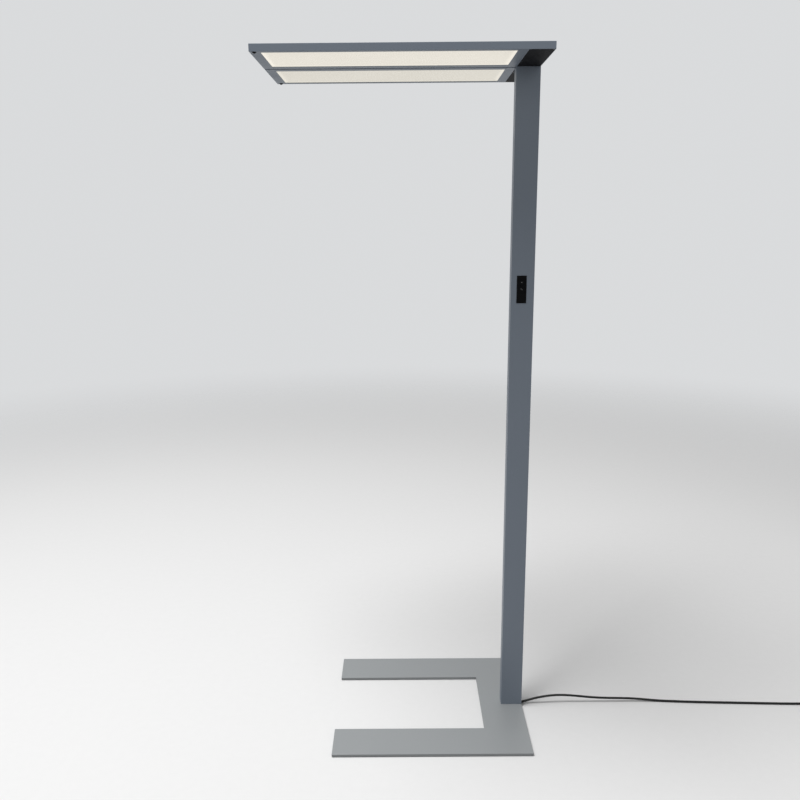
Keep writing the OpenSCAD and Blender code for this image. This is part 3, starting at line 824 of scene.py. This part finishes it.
    def strain_relief(self) -> bpy.types.Object:
        """Makes the tapered boot, whose radius steps in at each rib, and returns it."""
        length, wide, slim = self.boot
        share = np.linspace(0, 1, self.boot_rings)
        start, end = self.boot_ribbed
        rib = self.ribs(self.boot_rings, self.boot_rib) * ((share > start) & (share < end))
        profile = list(zip(share * length, wide + (slim - wide) * share - rib))
        tilted = Vector((math.cos(self.boot_tilt), 0, math.sin(self.boot_tilt)))
        shape = loft(*rounds(profile, self.boot_sides), Vector(self.exit), tilted)
        shape.points[:self.boot_sides, 0] = self.exit[0]
        return place("cord_strain_relief", shape, "lamp", "cable_sheath", ["cord_boot"])

    def plug(self, end: np.ndarray) -> list[bpy.types.Object]:
        """Makes the plug and its pins.

        The body's radius at angle t is the smaller of its round radius and grip_half / |cos t|.
        pin_tip gives the pins' taper, as distances from their tips and shares of their radius.

        Args:
            end: the cord's far end.

        Returns:
            The plug and its pins.
        """
        share = np.linspace(0, 1, self.neck_rings)
        rib = self.ribs(self.neck_rings, self.neck_rib) * (share > self.neck_plain)
        slim, wide = self.neck_r
        shell_mm = (
            (0, 9), (1, 11.3), (3, 14), (5.4, 15.8), (8, 17), (11, 17.7), (14, 18), (25, 18),
            (25.6, 17.4), (26.4, 17.4), (27, 18), (31, 18), (31.7, 17.7), (32, 17),
        )
        profile = list(zip(share * self.neck, slim + (wide - slim) * share - rib))
        profile += [(self.neck + a * MM, r * MM) for a, r in shell_mm]
        along, radii = rounds(profile, self.plug_sides)
        turn = np.arange(self.plug_sides) * 2 * np.pi / self.plug_sides
        sideways = np.maximum(np.abs(np.cos(turn)), self.grip_corner)
        grip = np.minimum(radii, self.grip_half / sideways)
        radii = np.where((np.array(along) < self.neck + self.grip_end)[:, None], grip, radii)
        towards = Vector((0, -1, 0))
        body = loft(along, radii, Vector(end), towards)
        shell = place("plug_shell", body, "lamp", "cable_sheath", ["plug_body"])
        radius, length, pitch = self.pin
        profile = [(0, radius)]
        profile += [(length - short, share * radius) for short, share in self.pin_tip]
        foot = Vector(end) + towards * along[-1]
        pins = Surface.together([
            loft(*rounds(profile, self.pin_sides), foot + Vector((side * pitch / 2, 0, 0)), towards)
            for side in (-1, 1)
        ])
        return [shell, place("plug_contacts", pins, "lamp", "pin_brass", ["plug_pins"])]


def solids(node: str) -> list[np.ndarray]:
    """Splits a node's mesh into its separate solids.

    Each point takes the lowest number found in any triangle that it shares, until nothing changes.

    Args:
        node: the CAD node.

    Returns:
        The points of each solid.
    """
    mesh = frame["nodes"][node].data
    points = np.zeros(len(mesh.vertices) * 3)
    corners = np.zeros(len(mesh.polygons) * 3, np.int64)
    mesh.vertices.foreach_get("co", points)
    mesh.polygons.foreach_get("vertices", corners)
    points = points.reshape(-1, 3)
    _, same = np.unique(np.round(points / SAME_POINT), axis=0, return_inverse=True)
    triangles = same.ravel()[corners].reshape(-1, 3)
    label = np.arange(same.max() + 1)
    while True:
        lowest = label.copy()
        np.minimum.at(lowest, triangles.ravel(), np.repeat(label[triangles].min(1), 3))
        if (lowest == label).all():
            break
        label = lowest
    mine = label[same.ravel()]
    return [points[mine == k] for k in np.unique(mine)]


@dataclass
class SocketScrews:
    """The screws of one node, each with a hexagonal socket sunk into its outer end."""

    name: str
    node: str
    outwards: Vector
    slot: str = "screw_steel"
    socket: float = 0.5
    socket_depth: float = 0.88
    edge: float = 0.25 * MM
    tip: float = 0.9
    brim: float = 0.02 * MM
    brim_drop: float = 0.1
    end_within: float = 0.01 * MM
    sides: int = 24

    def one(self, points: np.ndarray) -> Surface:
        """Makes one screw on its solid's own axis, length and radii.

        The socket's radius at angle t is its half width over cos((t + 30 deg) mod 60 deg - 30 deg).
        Its width and depth, and the tip's radius, are shares of the shank's radius. brim_drop is a
        share of edge.

        Args:
            points: the solid's points.

        Returns:
            The screw.
        """
        axis = np.array(self.outwards)
        across = np.abs(axis) < 0.5
        middle = (points.max(0) + points.min(0)) / 2
        reach = points @ axis
        far = np.sqrt(((points - middle)[:, across] ** 2).sum(1))
        length = float(reach.max() - reach.min())
        shank = float(far[reach < reach.min() + self.end_within].max())
        head = float(far.max())
        sink = max(head - shank, self.edge)
        top = middle + axis * (reach.max() - middle @ axis)
        profile = [(-length, shank * self.tip), (-length + self.edge, shank), (-sink, shank)]
        profile += [(-self.brim_drop * self.edge, head - self.brim), (0, head - self.edge)]
        along, radii = rounds(profile, self.sides)
        turn = np.arange(self.sides) * 2 * np.pi / self.sides
        hexagon = self.socket * shank / np.cos((turn + np.pi / 6) % (np.pi / 3) - np.pi / 6)
        along += [0, -self.socket_depth * shank]
        return loft(along, np.vstack([radii, hexagon, hexagon]), Vector(top), self.outwards)

    def build(self) -> None:
        """Makes the screws as one piece."""
        shape = Surface.together([self.one(points) for points in solids(self.node)])
        place(self.name, shape, "lamp", self.slot, [self.node])


@dataclass
class Base:
    """The U-shaped plate, its round pads and the screws under the post."""

    round: float = 0.8 * MM
    pad_edge: float = 0.4 * MM
    pad_sides: int = 40

    def build(self) -> None:
        """Makes the plate with eased edges, and the pads with rounded rims."""
        eased("steel_base", "base_plate", self.round, "lamp", "steel_paint")
        pads = []
        for points in solids("base_glides"):
            low, high = points.min(0), points.max(0)
            radius, height = (high[0] - low[0]) / 2, high[2] - low[2]
            profile = [(0, radius - self.pad_edge), (self.pad_edge, radius), (height, radius)]
            foot = Vector(((low[0] + high[0]) / 2, (low[1] + high[1]) / 2, low[2]))
            pads.append(loft(*rounds(profile, self.pad_sides), foot, Vector((0, 0, 1))))
        place("glide_pads", Surface.together(pads), "lamp", "glide_rubber", ["base_glides"])
        SocketScrews("base_plate_screws", "base_screws", Vector((0, 0, -1))).build()


@dataclass
class Post:
    """The post's profile and the set screws in its back."""

    round: float = 0.9 * MM

    def build(self) -> None:
        """Makes the profile with eased corners, and its set screws."""
        eased("post_profile", "post", self.round, "lamp", "silver_paint")
        for end in ("foot", "neck"):
            SocketScrews(f"{end}_grub_screws", f"{end}_set_screws", Vector((0, 1, 0))).build()


@dataclass
class Controls:
    """The black panel and its two push keys, each with a plain printed mark."""

    panel_round: float = 0.5 * MM
    key_round: float = 0.3 * MM
    key_shortest: float = 3 * MM
    print_t: float = 0.08 * MM
    print_sunk: float = 0.02 * MM
    dot_sides: int = 32
    dot: float = 1.5 * MM
    pair_dot: float = 1.15 * MM
    pair_step: tuple[float, float] = (1.5 * MM, 1.1 * MM)

    def mark(self, key: str, dots: list[tuple[float, float, float]]) -> None:
        """Prints flat round dots on a key's face.

        Args:
            key: the key's node and body.
            dots: each dot's place to the right and up from the key's middle, and its radius.
        """
        low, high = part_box(key)
        middle = (low + high) / 2
        shapes = [
            loft(
                *rounds([(-self.print_sunk, r), (self.print_t, r)], self.dot_sides),
                Vector((middle.x + dx, low.y, middle.z + dz)), Vector((0, -1, 0)),
            )
            for dx, dz, r in dots
        ]
        place(f"{key}_mark", Surface.together(shapes), key, "black_gloss", [], finish="key_print")

    def build(self) -> None:
        """Makes the panel, the keys and their marks."""
        eased("panel_face", "panel_housing", self.panel_round, "lamp", "black_gloss")
        for key in ("upper_key", "lower_key"):
            eased(f"{key}_cap", key, self.key_round, key, "black_gloss", self.key_shortest)
        right, up = self.pair_step
        self.mark("upper_key", [(0, 0, self.dot)])
        self.mark("lower_key", [(-right, up, self.pair_dot), (right, -up, self.pair_dot)])


@dataclass
class Head:
    """The light head: its frame, rail, cover and lid, its panels, sensors and screws."""

    frame_round: float = 0.5 * MM
    rail_round: float = 0.4 * MM
    lid_round: float = 0.3 * MM
    prism: float = 2 * MM
    prism_depth: float = 0.8 * MM
    lens_steps: int = 7
    lens_tip: float = 0.08
    lens_in: float = 0.985
    lens_drop: float = 0.99
    lens_start: float = 0.02 * MM
    lens_sides: int = 20
    lens_angle: float = 12.0

    def prism_panel(self, side: str) -> None:
        """Makes a panel whose underside is rows of small pyramids.

        On a grid of half pyramids, odd rows meet odd columns at a tip, and every other point is a
        valley, prism_depth higher. A rim and a flat top close it.

        Args:
            side: near or far.
        """
        low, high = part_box(f"{side}_diffuser")
        rows, columns = (2 * round((high[k] - low[k]) / self.prism / 2) + 1 for k in (0, 1))
        i, k = np.meshgrid(np.arange(rows), np.arange(columns), indexing="ij")
        x = low.x + (high.x - low.x) * i / (rows - 1)
        y = low.y + (high.y - low.y) * k / (columns - 1)
        z = low.z + self.prism_depth * (1 - (i % 2) * (k % 2))
        grid = np.stack([x, y, z], -1).reshape(-1, 3)
        cells = quads(rows, columns, False)
        a, b, c, d = cells.T
        level = grid[:, 2]
        ridge = (np.minimum(level[a], level[c]) < np.minimum(level[b], level[d]))[:, None]
        first = np.where(ridge, np.stack([a, b, c], 1), np.stack([a, b, d], 1))
        second = np.where(ridge, np.stack([a, c, d], 1), np.stack([b, c, d], 1))
        number = np.arange(rows * columns).reshape(rows, columns)
        rim = np.concatenate([number[:-1, 0], number[-1, :-1], number[:0:-1, -1], number[0, :0:-1]])
        lid = rows * columns + np.arange(len(rim))
        wall = np.stack([rim, np.roll(rim, -1), np.roll(lid, -1), lid], 1)
        top = grid[rim] * (1, 1, 0) + (0, 0, high.z)
        faces = first.tolist() + second.tolist() + wall.tolist() + [lid.tolist()]
        shape = Surface(np.concatenate([grid, top]), faces)
        place(
            f"{side}_prism_panel", shape, "lamp", "lit_diffuser", [f"{side}_diffuser"],
            smooth_angle=0,
        )

    def sensor(self, side: str) -> None:
        """Makes a sensor: a short round body and a lens in stepped facets under it.

        The lens's drop below the head falls as drop * (1 - share^2), where share is its radius over
        the body's.

        Args:
            side: near or far.
        """
        low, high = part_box(f"{side}_sensor")
        edge = (high.x - low.x) / 2
        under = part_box("head_frame")[0].z
        body, drop = high.z - under, under - low.z
        share = np.linspace(1, self.lens_tip, self.lens_steps)
        down = body + drop * (1 - share**2) * self.lens_drop + self.lens_start
        profile = [(0, edge), (body, edge), *zip(down, edge * share * self.lens_in)]
        middle = Vector(((low.x + high.x) / 2, (low.y + high.y) / 2, high.z))
        shape = loft(*rounds(profile, self.lens_sides), middle, Vector((0, 0, -1)))
        place(
            f"{side}_sensor_lens", shape, "lamp", "black_gloss", [f"{side}_sensor"],
            smooth_angle=self.lens_angle,
        )

    def build(self) -> None:
        """Makes the head's pieces."""
        eased("head_shell", "head_frame", self.frame_round, "lamp", "silver_paint")
        eased("centre_rail", "centre_bar", self.rail_round, "lamp", "silver_paint")
        eased("electronics_cover", "driver_cover", self.rail_round, "lamp", "black_plastic")
        eased("head_lid", "top_plate", self.lid_round, "lamp", "silver_paint")
        for side in ("near", "far"):
            self.prism_panel(side)
            self.sensor(side)
        up, down = Vector((0, 0, 1)), Vector((0, 0, -1))
        SocketScrews("lid_screws", "top_plate_screws", up).build()
        SocketScrews("post_top_screws", "head_screws", up).build()
        SocketScrews("cover_pan_screws", "cover_screws", down).build()


@dataclass
class Studio:
    """A pale floor that fades into a pale background, one large soft lamp and a soft sky."""

    floor_r: float = 7.0
    floor_sides: int = 96
    floor_drop: float = 0.3 * MM
    fade_from: float = 2.6
    fade_to: float = 6.3
    floor_colour: Colour = (0.82, 0.82, 0.82)
    floor_tones: tuple[float, float] = (0.985, 1.015)
    floor_noise: tuple[float, float] = (40.0, 4.0)
    floor_bounce: Colour = (0.3, 0.3, 0.3)
    thin_gap: float = 30 * MM
    background: Colour = (0.7, 0.71, 0.72)
    sky: float = 0.3
    key_spot: Point = (-2.0, -1.0, 6.8)
    key_aim: Point = (0.0, 0.0, 0.7)
    key_size: float = 3.2
    key_power: float = 430.0

    def floor(self) -> None:
        """Makes the floor, clear at its rim, from below, and to light from within thin_gap."""
        turn = np.arange(self.floor_sides) * 2 * np.pi / self.floor_sides
        rim = np.stack([self.floor_r * np.cos(turn), self.floor_r * np.sin(turn), 0 * turn], 1)
        mesh = bpy.data.meshes.new("floor")
        mesh.from_pydata((rim - (0, 0, self.floor_drop)).tolist(), [], [list(range(len(rim)))])
        material = bpy.data.materials.new("pale_floor")
        material.use_nodes = True
        material.node_tree.nodes.clear()
        graph = Graph(material.node_tree)
        spot = graph.add("ShaderNodeTexCoord").outputs["Object"]
        away = graph.add("ShaderNodeVectorMath", {0: spot}, operation="LENGTH").outputs["Value"]
        fade = graph.ramp(away, self.fade_from, self.fade_to, "SMOOTHSTEP")
        behind = graph.add("ShaderNodeNewGeometry").outputs["Backfacing"]
        scale, detail = self.floor_noise
        fine = graph.add("ShaderNodeTexNoise", {"Vector": spot, "Scale": scale, "Detail": detail})
        tones = (opaque(self.floor_colour, tone) for tone in self.floor_tones)
        seen = graph.seen_rays()
        colour = graph.blend(seen, opaque(self.floor_bounce), graph.blend(fine.outputs[0], *tones))
        paint = graph.add("ShaderNodeBsdfDiffuse", {"Color": colour})
        ray_length = graph.add("ShaderNodeLightPath").outputs["Ray Length"]
        close = graph.math("LESS_THAN", ray_length, self.thin_gap)
        let_through = graph.math("MULTIPLY", close, graph.math("SUBTRACT", 1.0, seen))
        clear = graph.add("ShaderNodeBsdfTransparent")
        gone = graph.math("MAXIMUM", graph.math("MAXIMUM", fade, behind), let_through)
        mixed = graph.add(
            "ShaderNodeMixShader", {0: gone, 1: paint.outputs[0], 2: clear.outputs[0]}
        )
        graph.add("ShaderNodeOutputMaterial", {0: mixed.outputs[0]})
        mesh.materials.append(material)
        floor = bpy.data.objects.new("floor", mesh)
        bpy.context.scene.collection.objects.link(floor)

    def build(self) -> None:
        """Makes the floor, the background and the lamp, and sets the view transform."""
        self.floor()
        world = bpy.data.worlds.new("studio")
        bpy.context.scene.world = world
        world.use_nodes = True
        world.node_tree.nodes.clear()
        graph = Graph(world.node_tree)
        sky = graph.add("ShaderNodeBackground", {0: (1.0, 1.0, 1.0, 1.0), 1: self.sky})
        pale = graph.add("ShaderNodeBackground", {0: opaque(self.background), 1: 1.0})
        mixed = graph.add(
            "ShaderNodeMixShader", {0: graph.seen_rays(), 1: sky.outputs[0], 2: pale.outputs[0]}
        )
        graph.add("ShaderNodeOutputWorld", {0: mixed.outputs[0]})
        data = bpy.data.lights.new("overhead_softbox", "AREA")
        data.size = self.key_size
        data.energy = self.key_power
        lamp = bpy.data.objects.new("overhead_softbox", data)
        bpy.context.scene.collection.objects.link(lamp)
        aim = (Vector(self.key_aim) - Vector(self.key_spot)).to_track_quat("-Z", "Y")
        lamp.matrix_world = Matrix.Translation(self.key_spot) @ aim.to_matrix().to_4x4()
        bpy.context.scene.view_settings.view_transform = "Standard"


def dress_nodes() -> None:
    """Gives every CAD node the finish of its material slot."""
    for part in frame["record"]["subparts"]:
        node = frame["nodes"][part["node"]]
        material = MATERIALS[part["material_slot"]]
        if not node.material_slots:
            node.data.materials.append(material)
        for holder in node.material_slots:
            holder.material = material
        log.info("%s is finished in %s", part["node"], part["material_slot"])


def main() -> None:
    """Makes the camera and the cord, then the finishes, the pieces and the stage."""
    logging.basicConfig(level=logging.INFO, format="%(name)s: %(message)s")
    Viewpoint().build()
    MainsCord().build()
    dress_nodes()
    for group in (Base(), Post(), Controls(), Head()):
        group.build()
    Studio().build()


if __name__ == "__main__":
    main()
